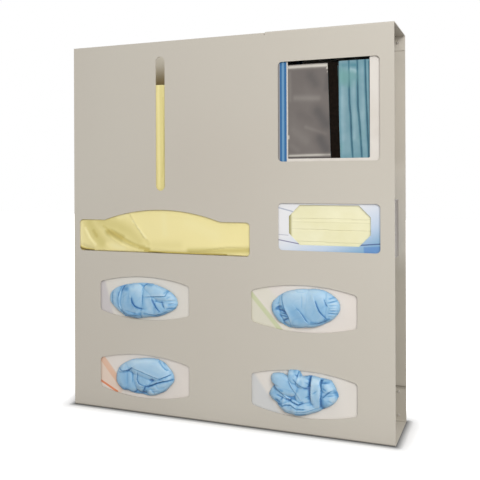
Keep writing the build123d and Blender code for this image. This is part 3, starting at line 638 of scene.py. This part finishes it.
glove_folds["lower_right"] = {
    "oval": (146.05, 63.6),
    "outline": [
        (87, 60), (90, 68), (96, 76), (98, 79), (91, 82), (90, 90), (94, 95), (104, 97), (112, 96.5),
        (119, 93), (121, 103), (126, 104.5), (139, 104.5), (141, 96), (148, 95.5), (158, 97.5), (175, 95),
        (192, 93), (198, 85), (201, 78), (204, 68), (199, 58), (190, 50.5), (180, 46), (172, 40.5),
        (162, 36.5), (150, 32), (140, 29.5), (133, 29), (128, 31), (115, 32.5), (108, 38), (100, 48),
        (92, 53),
    ],
    "lobes": [
        ((114, 81), (30, 18), -0.42, 9.5), ((130, 94), (11, 15), 0.1, 9.5),
        ((145, 88), (15, 14), -0.2, 9.5), ((148, 66), (16, 22), 0, 8), ((168, 70), (11, 34), 0.03, 9.2),
        ((188, 82), (15, 13), -0.1, 8.5), ((188, 62), (17, 20), 0.3, 8), ((140, 42), (46, 16), 0.06, 9),
        ((106, 58), (22, 15), -0.5, 7),
    ],
    "layers": [
        ([(148, 54), (140, 51), (130, 54), (120, 59), (112, 66), (104, 72), (95, 78)], 2.6, 8),
        ([(144, 57), (137, 66), (129, 77), (124, 87), (122, 97)], 1.4, 6),
        ([(158, 78), (150, 79), (143, 82), (137, 85), (132, 91)], 2, 5),
        ([(160, 58), (160.5, 80), (161, 98)], 2.8, 5), ([(176, 94), (176.5, 76), (175, 54)], 2.4, 5),
        ([(201, 81), (190, 76), (180, 66)], 1.6, 5),
        ([(151, 44.5), (137, 43.5), (132, 46), (127, 49), (117, 48), (111, 44)], 1.8, 5),
        ([(172, 49), (158, 43), (148, 39), (130, 38)], 1.3, 5),
    ],
    "creases": [
        ([(103, 63), (112, 58.5), (108, 52)], 1.4, 1.5), ([(112, 59), (121, 55)], 0.9, 1.3),
        ([(100, 55), (108, 50)], 1.3, 1.6), ([(103, 48), (112, 44)], 1.2, 1.5),
        ([(150, 94), (160, 92)], 1, 1.6), ([(150, 88), (158, 84)], 0.8, 1.4),
        ([(163, 70), (171, 76)], 0.8, 1.3), ([(178, 88), (190, 90)], 1.2, 1.6),
        ([(186, 68), (200, 70)], 1.3, 1.5), ([(189, 61), (197, 56)], 0.9, 1.5),
        ([(180, 81), (186, 77)], 1, 1.5), ([(150, 62), (158, 66)], 0.9, 1.4),
        ([(112, 38), (130, 35)], 0.8, 1.6), ([(152, 50), (166, 54)], 0.7, 1.6),
        ([(133, 99), (139, 95)], 1.2, 1.5),
    ],
    "crumpled": [
        (106, 54, 12, 0.5), (125, 44, 14, 0.35), (186, 72, 15, 0.5), (152, 88, 10, 0.4), (132, 98, 7, 0.4),
    ],
    "tones": [
        ([(97, 92), (112, 84)], 9, -0.06), ([(96, 76), (102, 73), (112, 70)], 2.6, 0.4),
        ([(120, 57), (130, 53.5), (140, 50.5), (147, 55)], 2, 0.42), ([(112, 64), (122, 60)], 2, 0.12),
        ([(123, 96), (126, 84), (134, 72)], 4, 0.14), ([(133, 102), (138, 97)], 3, 0.26),
        ([(133, 90), (138, 85), (148, 80)], 1.6, 0.3), ([(140, 90), (148, 88)], 4, -0.1),
        ([(152, 96), (159, 92)], 2.6, 0.26), ([(158.5, 96), (158, 80), (157, 62)], 2, 0.36),
        ([(151, 78), (158, 78)], 2.6, 0.34), ([(168, 92), (167, 60)], 5, -0.06),
        ([(178, 90), (189, 90)], 2.2, 0.36), ([(178, 84), (184, 78)], 4, 0.2),
        ([(180, 67), (189, 75)], 1.8, 0.36), ([(198, 76), (202, 70)], 3, 0.28),
        ([(188, 82), (195, 80)], 2.6, -0.08), ([(178, 60), (180, 48)], 4.5, 0.34),
        ([(186, 60), (186, 54)], 3, 0.2), ([(193, 64), (198, 61)], 3, -0.2),
        ([(148, 55), (154, 47)], 5, -0.12), ([(101, 54), (107, 50)], 3, 0.3),
        ([(104, 47), (112, 44)], 2, 0.3),
        ([(113, 46), (119, 48), (128, 49), (133, 45), (148, 44)], 1.5, 0.32),
        ([(92, 62), (98, 66)], 4, 0.1), ([(134, 33), (150, 34)], 2.2, 0.4),
        ([(112, 34), (128, 32.5)], 1.8, 0.2), ([(118, 39), (140, 37.5)], 2.5, -0.08),
        ([(104, 62), (112, 58)], 1.6, 0.24), ([(125, 62), (135, 66)], 4, -0.06),
    ],
}

oval_half = (51, 25)
carton_front = -56.8
glove_count = (200, 124)
rim_share = 0.9


def glove_bunch(bay, folds, seed):
    piece = bare_grid(f"glove_bunch_{bay}", *glove_count)
    u, v = grid_values(piece)
    disc_x = u * np.sqrt(1 - v * v / 2)
    disc_z = v * np.sqrt(1 - u * u / 2)
    radius = np.hypot(disc_x, disc_z)
    corners = np.array(folds["outline"])
    centre_x, centre_z = corners.mean(axis=0)
    half_x = np.ptp(corners[:, 0]) / 2
    half_z = np.ptp(corners[:, 1]) / 2
    turn = np.arctan2(disc_z, disc_x)
    corner_turn = np.arctan2((corners[:, 1] - centre_z) / half_z, (corners[:, 0] - centre_x) / half_x)
    corner_reach = np.hypot((corners[:, 0] - centre_x) / half_x, (corners[:, 1] - centre_z) / half_z)
    order = np.argsort(corner_turn)
    reach = np.interp(turn, corner_turn[order], corner_reach[order], period=2 * math.pi)
    # Front of the bunch, out to its rim
    out = np.minimum(radius / rim_share, 1)
    unit_x, unit_z = (np.divide(disc, radius, out=np.zeros_like(radius), where=radius > 0)
                      for disc in (disc_x, disc_z))
    x = centre_x + half_x * reach * out * unit_x
    z = centre_z + half_z * reach * out * unit_z
    height = np.full_like(x, 2.5)
    for lobe_values in folds["lobes"]:
        height = np.maximum(height, 2.5 + lobe(x, z, *lobe_values))
    for path, step, lip in folds["layers"]:
        height += overlap(x, z, path, step, lip)
    for path, depth, width in folds["creases"]:
        height += nip(x, z, path, 1.4 * depth, width)
    crumple = np.full_like(x, 0.1)
    for spot_x, spot_z, spot_size, amount in folds["crumpled"]:
        crumple += amount * np.exp(-((x - spot_x) ** 2 + (z - spot_z) ** 2) / spot_size**2)
    wrinkles = 0.9 * ridges(x, z, 7, seed) - 0.8 * ridges(x, z, 4.5, seed + 2)
    height += crumple * (wrinkles + 0.4 * waves(x, z, 2, seed + 1))
    height += 0.3 * waves(x, z, 9, seed + 3)
    tone = np.zeros_like(x)
    for path, width, amount in folds["tones"]:
        tone += amount * stroke(x, z, path, width)
    height = np.maximum(height, 0.6) * (1 - out**8) ** 0.5 + 1.2
    # Behind the rim the film turns back into the oval
    back = np.clip((radius - rim_share) / (1 - rim_share), 0, 1)
    neck_x = folds["oval"][0] + 0.93 * oval_half[0] * unit_x
    neck_z = folds["oval"][1] + 0.93 * oval_half[1] * unit_z
    x += (neck_x - x) * np.minimum(back * 1.25, 1)
    z += (neck_z - z) * np.minimum(back * 1.25, 1)
    y = carton_front - height * (1 - back) ** 0.7 - 0.4 + 2.2 * np.clip((back - 0.8) / 0.2, 0, 1)
    move_to(piece, x, y, z)
    shade_of(piece, glove_count[0] + 1, height, tone, np.clip((rim_share - radius) / 0.1, 0.15, 1))
    smooth(piece, 75)
    return piece


def take_place(piece, node):
    """Enter a soft piece in the frame, in place of a node if it has one."""
    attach(piece, "root")
    if node:
        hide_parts(node)


nitrile = Finish("nitrile", srgb(150, 190, 218), 0.42, Sheen_Weight=0.1, Subsurface_Weight=0.15,
                 Subsurface_Radius=(0.002, 0.003, 0.004), Subsurface_Scale=1)
# The kept shade paints the film darker in its creases and lighter on its crests: painted shade and
# highlight, partly the real deeper blue where film lies doubled
nitrile_tone = nitrile.shaded(nitrile.noise(45, 3, rough=0.6), 0.16)
nitrile.colour(nitrile.ramp(nitrile_tone, (0.28, srgb(184, 211, 229)), (0.56, srgb(148, 190, 220)),
                            (0.8, srgb(98, 154, 198)), (1.0, srgb(60, 112, 164))))
nitrile.rough(nitrile.noise(220, 2), 0.36, 0.52)
nitrile.bump(nitrile.noise(520, 3, (1, 1, 0.6)), 0.25, 0.0004)
for seed, (bay, folds) in enumerate(glove_folds.items()):
    bunch = glove_bunch(bay, folds, 10 * seed + 3)
    nitrile.put_on(bunch)
    take_place(bunch, f"gloves_{bay}")


def soft_slab(name, low, high, radius, counts, front=None, top=None, end_round=4):
    """A closed soft slab on edge, with rounded corners. front and top are fields that move its points."""
    columns, around = counts
    piece = bare_grid(name, columns, around)
    u, v = grid_values(piece)
    deep, tall = (high[1] - low[1]) / 2, (high[2] - low[2]) / 2
    radius = min(radius, deep * 0.98)
    # Run round a rectangle with rounded corners, starting in the middle of its underside
    sides = [deep - radius, 2 * (tall - radius), 2 * (deep - radius), 2 * (tall - radius), deep - radius]
    arc = math.pi * radius / 2
    whole = sum(sides) + 4 * arc
    place = (v + 1) / 2 * whole
    centre_y, centre_z = (low[1] + high[1]) / 2, (low[2] + high[2]) / 2
    y, z = np.zeros_like(u), np.zeros_like(u)
    head = (0.0, -tall)
    heading = (-1.0, 0.0)
    start = 0
    for k, side in enumerate(sides):
        here = (place >= start - 1e-9) & (place <= start + side + 1e-9)
        run = place - start
        y = np.where(here, head[0] + heading[0] * run, y)
        z = np.where(here, head[1] + heading[1] * run, z)
        head = (head[0] + heading[0] * side, head[1] + heading[1] * side)
        start += side
        if k < 4:
            inward = (heading[1], -heading[0])
            hub = (head[0] + inward[0] * radius, head[1] + inward[1] * radius)
            turn = (place - start) / radius
            here = (place > start) & (place < start + arc)
            back, on = radius * np.cos(turn), radius * np.sin(turn)
            y = np.where(here, hub[0] - inward[0] * back + heading[0] * on, y)
            z = np.where(here, hub[1] - inward[1] * back + heading[1] * on, z)
            head = (hub[0] + heading[0] * radius, hub[1] + heading[1] * radius)
            heading = inward
            start += arc
    half = (high[0] - low[0]) / 2
    x = (low[0] + high[0]) / 2 + half * u
    # The ends close in a rounded edge
    beyond = np.clip((np.abs(u) * half - half + end_round) / end_round, 0, 1)
    shrink = np.sqrt(1 - beyond**2)
    y_out, z_out = y + centre_y, z + centre_z
    facing = np.clip(-y / deep, 0, 1) ** 2 * np.clip((tall - np.abs(z)) / max(radius, 1), 0, 1)
    if front is not None:
        y_out = y_out - front(x, z_out) * facing
    if top is not None:
        z_out = z_out + top(x, y_out) * np.clip(z / tall, 0, 1) ** 6
    y_out = centre_y + (y_out - centre_y) * shrink
    z_out = centre_z + (z_out - centre_z) * (1 - beyond * radius * 0.5 / tall)
    move_to(piece, x, y_out, z_out)
    face_outwards(piece)
    smooth(piece, 50)
    return piece


pile_count = 8

# Gowns, folded into packs that stand on edge, the nearest one slumped against the panel
gown_layers = [
    ([(-140, 305), (-150, 312), (-170, 340), (-183, 362)], 1.2, 5),
    ([(-222, 327), (-205, 316), (-180, 302), (-150, 291)], 1.4, 7),
    ([(-232, 331), (-215, 311), (-190, 298), (-160, 289)], 1.2, 4),
    ([(-272, 327), (-262, 312), (-253, 298)], 1.6, 6), ([(-244, 320), (-252, 308)], 0.8, 4),
    ([(50, 300), (10, 299), (-40, 292)], 1.0, 8),
]
gown_furrows = [
    ([(-150, 291), (-100, 287.5), (0, 287.5)], 1.6, 2.2), ([(-283, 295), (-268, 288), (-248, 286)], 3, 5),
    ([(20, 287), (45, 287)], -0.8, 1.2), ([(-120, 360), (-100, 420), (-104, 520)], 0.8, 14),
    ([(-60, 350), (-20, 440), (-30, 560)], 0.8, 18), ([(-114, 560), (-111, 480), (-115, 410)], 0.5, 2.5),
]


def gown_face(x, z):
    field = 0.5 * waves(x, z, 30, 5) + 0.15 * waves(x, z, 7, 6)
    for path, step, lip in gown_layers:
        field += overlap(x, z, path, step, lip)
    for path, depth, width in gown_furrows:
        field += furrow(x, z, path, depth, width)
    return np.clip(field, -4, 1)


def gown_top_edge(seed):
    return lambda x, y: 1.6 * waves(x, y * 3, 40, seed) - 1.2


gown_cloth = Finish("yellow_gown", srgb(226, 213, 152), 0.82, Sheen_Weight=0.25)
weave = gown_cloth.noise(700, 2)
gown_tone = gown_cloth.shaded(gown_cloth.noise(14, 3), 0.1)
gown_cloth.colour(gown_cloth.ramp(gown_tone, (0.2, srgb(250, 241, 186)), (0.4, srgb(247, 234, 168)),
                                  (0.6, srgb(220, 207, 134)), (0.82, srgb(190, 170, 84)),
                                  (1, srgb(90, 74, 40))))
gown_cloth.bump(weave, 0.35, 0.0003)
# Painted shade along the gown's folds, under its lower edge, in its corners and in the slot, and painted
# highlights on its ridges
gown_tones = [
    ([(-232, 331), (-222, 325)], 4, 0.24), ([(-222, 321), (-210, 317), (-194, 310)], 8, 0.36),
    ([(-194, 309), (-170, 299), (-150, 294)], 5.5, 0.3), ([(-158, 294), (-140, 291)], 4, 0.34),
    ([(-148, 288.5), (-120, 287), (-60, 286.5), (10, 287)], 1.7, 0.46),
    ([(-60, 290), (0, 293), (56, 296)], 5.5, 0.26), ([(-140, 287), (-104, 285)], 1.5, 0.56),
    ([(-281, 335), (-280, 300)], 4, -0.14), ([(-271, 326), (-262, 309), (-250, 297)], 2.4, -0.2),
    ([(-262, 335), (-245, 310), (-236, 300)], 14, 0.2), ([(-254, 322), (-247, 312)], 6, 0.3),
    ([(-240, 338), (-205, 333), (-180, 322), (-160, 305)], 15, 0.17),
    ([(-287, 343), (-276, 345)], 3.5, 0.5),
    ([(-288, 294), (-281, 289), (-270, 286.5), (-254, 285.5)], 2.4, 0.65),
    ([(-172, 342), (-160, 328), (-145, 311)], 1.6, -0.24),
    ([(-168, 334), (-156, 316), (-140, 300)], 5, 0.12), ([(-200, 350), (-178, 358)], 6, -0.12),
    ([(-180, 362), (-176, 350)], 1.5, 0.12), ([(-110, 352), (-107, 320)], 6, -0.06),
    ([(-60, 340), (-10, 320)], 12, -0.06), ([(-225, 298), (-190, 292)], 4, -0.1),
    ([(-119, 620), (-118, 400)], 2, -0.1), ([(-110, 560), (-108, 470), (-112, 420)], 2, 0.2),
    ([(-130, 300), (-80, 300)], 8, 0.06), ([(-114, 600), (-114, 395)], 10, 0.14),
]
gown_low, gown_high = (-288.5, 285.4), (76.3, 584)
gown_front = -57
pack_deep = 17.4
pack_gap = 0.8
pack_drops = (0, 3, 1, 6, 2, 8)
for k, drop in enumerate(pack_drops):
    first = k == 0
    near = gown_front + k * (pack_deep + pack_gap)
    low = (gown_low[0] + k % 2, near, gown_low[1])
    high = (gown_high[0] - k % 3, near + pack_deep, gown_high[1] - drop)
    name = "gown_front_pack" if first else f"gown_pack_{k + 1}"
    pack = soft_slab(name, low, high, 2.5 if first else 7, (240, 390) if first else (60, 90),
                     gown_face if first else None, gown_top_edge(20 + k))
    shade_by_tones(pack, gown_tones if first else [])
    gown_cloth.put_on(pack)
    take_place(pack, "gown_stack" if first else None)

# Flat masks on edge; the front one shows its pleats in the carton's mouth


def mask_face(x, z):
    field = 0.15 * waves(x, z, 9, 31)
    for height, step in ((351, 0.6), (345, 0.35), (333, 0.6), (313, 0.6)):
        path = [(276, height), (240, height - 0.4), (160, height + 0.3), (100, height)]
        field += overlap(x, z, path, step, 9, 1)
    field += furrow(x, z, [(100, 348.4), (276, 348.2)], 0.2, 0.8)
    return field


mask_cloth = Finish("yellow_mask", srgb(232, 228, 190), 0.85, Sheen_Weight=0.2)
mask_tone = mask_cloth.ramp(mask_cloth.noise(30, 2), (0.3, srgb(238, 233, 190)), (0.7, srgb(244, 240, 203)))
left_shade = mask_cloth.fade(mask_cloth.axis("X"), 122, 127)
mask_tone = mask_cloth.tint(mask_tone, srgb(176, 170, 120), left_shade)
mask_cloth.colour(mask_tone)
mask_cloth.bump(mask_cloth.noise(900, 2), 0.3, 0.0002)
mask_foot = 286.8
mask_pitch, mask_depth = 11, 10.8
front_mask = soft_slab("mask_front", (101.5, -54.2, mask_foot), (275, -52.4, 377.8), 0.8, (220, 240),
                       mask_face, None, 3)
mask_cloth.put_on(front_mask)
take_place(front_mask, "mask_stack")
for k in range(pile_count):
    near = -52 + k * mask_pitch
    low = (101.8 + k % 2, near, mask_foot)
    high = (274.6 - k % 3, near + mask_depth, 377.4 - k % 2)
    pile = soft_slab(f"mask_pile_{k + 1}", low, high, 4, (40, 60), None, gown_top_edge(60 + k), 5)
    mask_cloth.put_on(pile)
    take_place(pile, None)

# Visor masks: the pleated mask, the foam strip and the clear film
blue_cloth = Finish("blue_mask", srgb(134, 172, 190), 0.8, Sheen_Weight=0.2)
blue_tone = blue_cloth.shaded(blue_cloth.noise(34, 3), 0.3)
blue_base = blue_cloth.ramp(blue_tone, (0.3, srgb(156, 188, 196)), (0.5, srgb(122, 160, 172)),
                            (0.72, srgb(78, 132, 146)), (1, srgb(36, 76, 104)))
green_patches = blue_cloth.step(blue_cloth.noise(18, 2), 0.5, 0.7)
blue_cloth.colour(blue_cloth.tint(blue_base, srgb(112, 160, 160), green_patches))
blue_cloth.bump(blue_cloth.noise(900, 2), 0.3, 0.0002)
visor_pleats = [
    [(221, 604), (221.5, 560), (222, 535), (224, 515), (225, 480), (228, 434)],
    [(234.5, 604), (235, 560), (235.5, 530), (238, 505), (241, 460), (242, 434)],
    [(247, 604), (248, 560), (250, 510), (252, 460), (253, 434)],
]
# Painted shade in the pleats and along the mask's right edge, and painted highlights on its lit folds
visor_mask_tones = [(path, 1.5, 0.4) for path in visor_pleats] + [
    ([(254, 600), (255, 500), (256, 440)], 1.6, 0.45), ([(207, 600), (206, 520), (209, 440)], 1.5, 0.12),
    ([(212, 597), (232, 596)], 4, 0.2), ([(224, 588), (232, 586)], 3.5, -0.25),
    ([(229, 570), (230, 480)], 3, -0.08), ([(243, 590), (244, 480)], 3, -0.06),
    ([(212, 560), (213, 480)], 4, -0.08), ([(215, 450), (240, 452)], 6, 0.1),
]
visor_foot = 433.9


def pleated_face(x, z):
    field = 0.25 * waves(x, z, 12, 41)
    for path in visor_pleats:
        field += overlap(x, z, path, 2, 7, 1.2)
    field += furrow(x, z, [(211, 600), (212, 500), (214, 440)], 0.6, 3)
    return field


visor_pitch, visor_depth = 10.8, 10.5
visor_mask = soft_slab("visor_mask", (204, -54.4, visor_foot), (263.5, -50, 604.5), 1.6, (110, 420),
                       pleated_face, None, 2)
shade_by_tones(visor_mask, visor_mask_tones)
blue_cloth.put_on(visor_mask)
take_place(visor_mask, "shield_mask")
for k in range(pile_count):
    near = -49.6 + k * visor_pitch
    low = (111.5, near, visor_foot)
    high = (263.5 - k % 2, near + visor_depth, 600.5 - 2 * (k % 3))
    pile = soft_slab(f"visor_mask_pile_{k + 1}", low, high, 4, (40, 80), None, gown_top_edge(80 + k), 5)
    shade_by_tones(pile, [], 0.45)
    blue_cloth.put_on(pile)
    take_place(pile, None)

dark_foam = Finish("dark_foam", srgb(18, 12, 8), 1, Specular_IOR_Level=0.1)
dark_foam.colour(dark_foam.ramp(dark_foam.noise(220, 3), (0.3, srgb(12, 8, 5)), (0.7, srgb(26, 19, 14))))
dark_foam.bump(dark_foam.noise(420, 3), 0.7, 0.0008)


def foam_face(x, z):
    return 0.3 * waves(x, z, 4, 51)


foam_piece = soft_slab("foam_pad", (189.2, -54.7, visor_foot), (205.2, -52.3, 603.5), 1, (24, 240),
                       foam_face, None, 1)
sway(foam_piece, 2.6, 522, 80)
dark_foam.put_on(foam_piece)
take_place(foam_piece, "foam_strip")

clear_film = Finish("clear_film", srgb(118, 110, 106), 0.22)
film_tone = clear_film.shaded(clear_film.noise(16, 3, (1, 1, 0.7)), 0.2)
clear_film.colour(clear_film.ramp(film_tone, (0.05, srgb(222, 217, 206)), (0.35, srgb(140, 134, 128)),
                                  (0.6, srgb(108, 101, 97)), (0.8, srgb(82, 78, 77)), (1, srgb(60, 48, 40))))
# Painted highlights and reflections on the clear film, along its top band and left edge, and painted shade
# in its darker patches
film_tones = [
    ([(185.5, 594), (188, 599)], 1.6, -0.7), ([(186, 588), (189, 592)], 1.2, -0.4),
    ([(119, 599), (188, 599)], 3.4, -0.55), ([(119, 453.5), (190, 454.5)], 2.4, -0.42),
    ([(119, 450), (192, 450)], 1, 0.4), ([(119.4, 600), (119.4, 450)], 1, -0.4),
    ([(120, 486), (120, 482)], 2, -0.6), ([(132, 548), (170, 546)], 5, -0.14),
    ([(122, 590), (123, 545)], 3.5, -0.1), ([(158, 583), (166, 570)], 9, 0.12),
    ([(170, 525), (184, 505)], 10, 0.16), ([(174, 480), (184, 462)], 9, 0.16),
    ([(186, 580), (184, 560)], 5, 0.1), ([(128, 495), (150, 478)], 8, -0.06),
    ([(150, 500), (182, 488)], 3, -0.08), ([(140, 520), (160, 512)], 7, 0.05),
    ([(124, 470), (136, 462)], 5, -0.05),
]
visor_middle = (150, -52.6, 518.2)
visor_half = (38.8, 84.3)
visor_lean = 1.3
visor_bow = 1.9
visor = bare_grid("visor", 90, 180)
u, v = grid_values(visor)
visor_z = visor_middle[2] + visor_half[1] * v
visor_x = visor_middle[0] + visor_half[0] * u - visor_lean * v * (1 + u)
visor_y = visor_middle[1] - visor_bow * np.cos(u * 1.4) - 0.35 * waves(visor_x, visor_z, 14, 61)
move_to(visor, visor_x, visor_y, visor_z)
thicken(visor, 0.6, 1)
smooth(visor, 60)
shade_by_tones(visor, film_tones, 0.5)
clear_film.put_on(visor)
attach(visor, "root")
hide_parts("visor_film")

# Floor and background
clear_selection()
bpy.ops.mesh.primitive_plane_add(size=12, location=(0, 0, 0))
floor = bpy.context.object
floor.name = "floor"


def ray_is_seen(tree):
    """1 for rays that show the background: from the camera, off gloss and through film."""
    light_path = tree.nodes.new("ShaderNodeLightPath")
    total = light_path.outputs["Is Camera Ray"]
    for kind in ("Is Glossy Ray", "Is Transmission Ray"):
        higher = tree.nodes.new("ShaderNodeMath")
        higher.operation = "MAXIMUM"
        tree.links.new(total, higher.inputs[0])
        tree.links.new(light_path.outputs[kind], higher.inputs[1])
        total = higher.outputs[0]
    return total


# The floor fades to white away from the cabinet; close to it, its colour is darkened into a painted contact
# shadow, and its glow fades so that the cast shadow shows
floor_paint = Finish("floor_paint", (0.9, 0.9, 0.9, 1), 0.9)
contact_shadow_reach, fade_reach = 13, 70


def outside(letter, half_size):
    """How far beyond the cabinet's footprint a place lies along one axis."""
    off = floor_paint.math("ABSOLUTE", floor_paint.axis(letter))
    past = floor_paint.math("MAXIMUM", floor_paint.math("SUBTRACT", off, half_size), 0)
    return floor_paint.times(past, past)


away = floor_paint.math("SQRT", floor_paint.math("ADD", outside("X", 293.5), outside("Y", 60)))
# Painted contact shadow: the floor's colour falls to 0.15 at the cabinet's footprint
floor_paint.colour(floor_paint.spread(away, 0.15, 0.9, contact_shadow_reach))
glow = floor_paint.node("ShaderNodeEmission")
floor_paint.feed(glow.inputs["Strength"], floor_paint.spread(away, 0, 1, fade_reach))
shown = floor_paint.node("ShaderNodeAddShader")
floor_paint.feed(shown.inputs[0], floor_paint.shader.outputs["BSDF"])
floor_paint.feed(shown.inputs[1], glow.outputs["Emission"])
matt = floor_paint.node("ShaderNodeBsdfDiffuse")
matt.inputs["Color"].default_value = (0.35, 0.34, 0.33, 1)
floor_mix = floor_paint.node("ShaderNodeMixShader")
floor_looks = (ray_is_seen(floor_paint.tree), matt.outputs["BSDF"], shown.outputs["Shader"])
for socket, value in zip(floor_mix.inputs, floor_looks):
    floor_paint.feed(socket, value)
floor_paint.feed(floor_paint.tree.nodes["Material Output"].inputs["Surface"], floor_mix.outputs["Shader"])
floor_paint.put_on(floor)

world = bpy.data.worlds.new("studio")
bpy.context.scene.world = world
world.use_nodes = True
world_tree = world.node_tree
mix = world_tree.nodes.new("ShaderNodeMixShader")
world_tree.links.new(ray_is_seen(world_tree), mix.inputs["Fac"])
light, seen = world_tree.nodes["Background"], world_tree.nodes.new("ShaderNodeBackground")
for socket, white, strength in ((1, light, 0.53), (2, seen, 1)):
    white.inputs["Color"].default_value = (1, 1, 1, 1)
    white.inputs["Strength"].default_value = strength
    world_tree.links.new(white.outputs["Background"], mix.inputs[socket])
world_tree.links.new(mix.outputs["Shader"], world_tree.nodes["World Output"].inputs["Surface"])


def lamp(name, place, aim, size, power):
    data = bpy.data.lights.new(name, "AREA")
    data.shape = "RECTANGLE"
    data.size, data.size_y = size
    data.energy = power
    lamp_object = bpy.data.objects.new(name, data)
    lamp_object.location = place
    direction = Vector(aim) - Vector(place)
    lamp_object.rotation_euler = direction.to_track_quat("-Z", "Y").to_euler()
    bpy.context.scene.collection.objects.link(lamp_object)


lamp("key", (1.3, -1.9, 1.3), (0.1, 0, 0.4), (1.4, 1.2), 39)
lamp("fill", (-1.8, -2.0, 1.0), (0, 0, 0.3), (1.6, 1.6), 1.5)
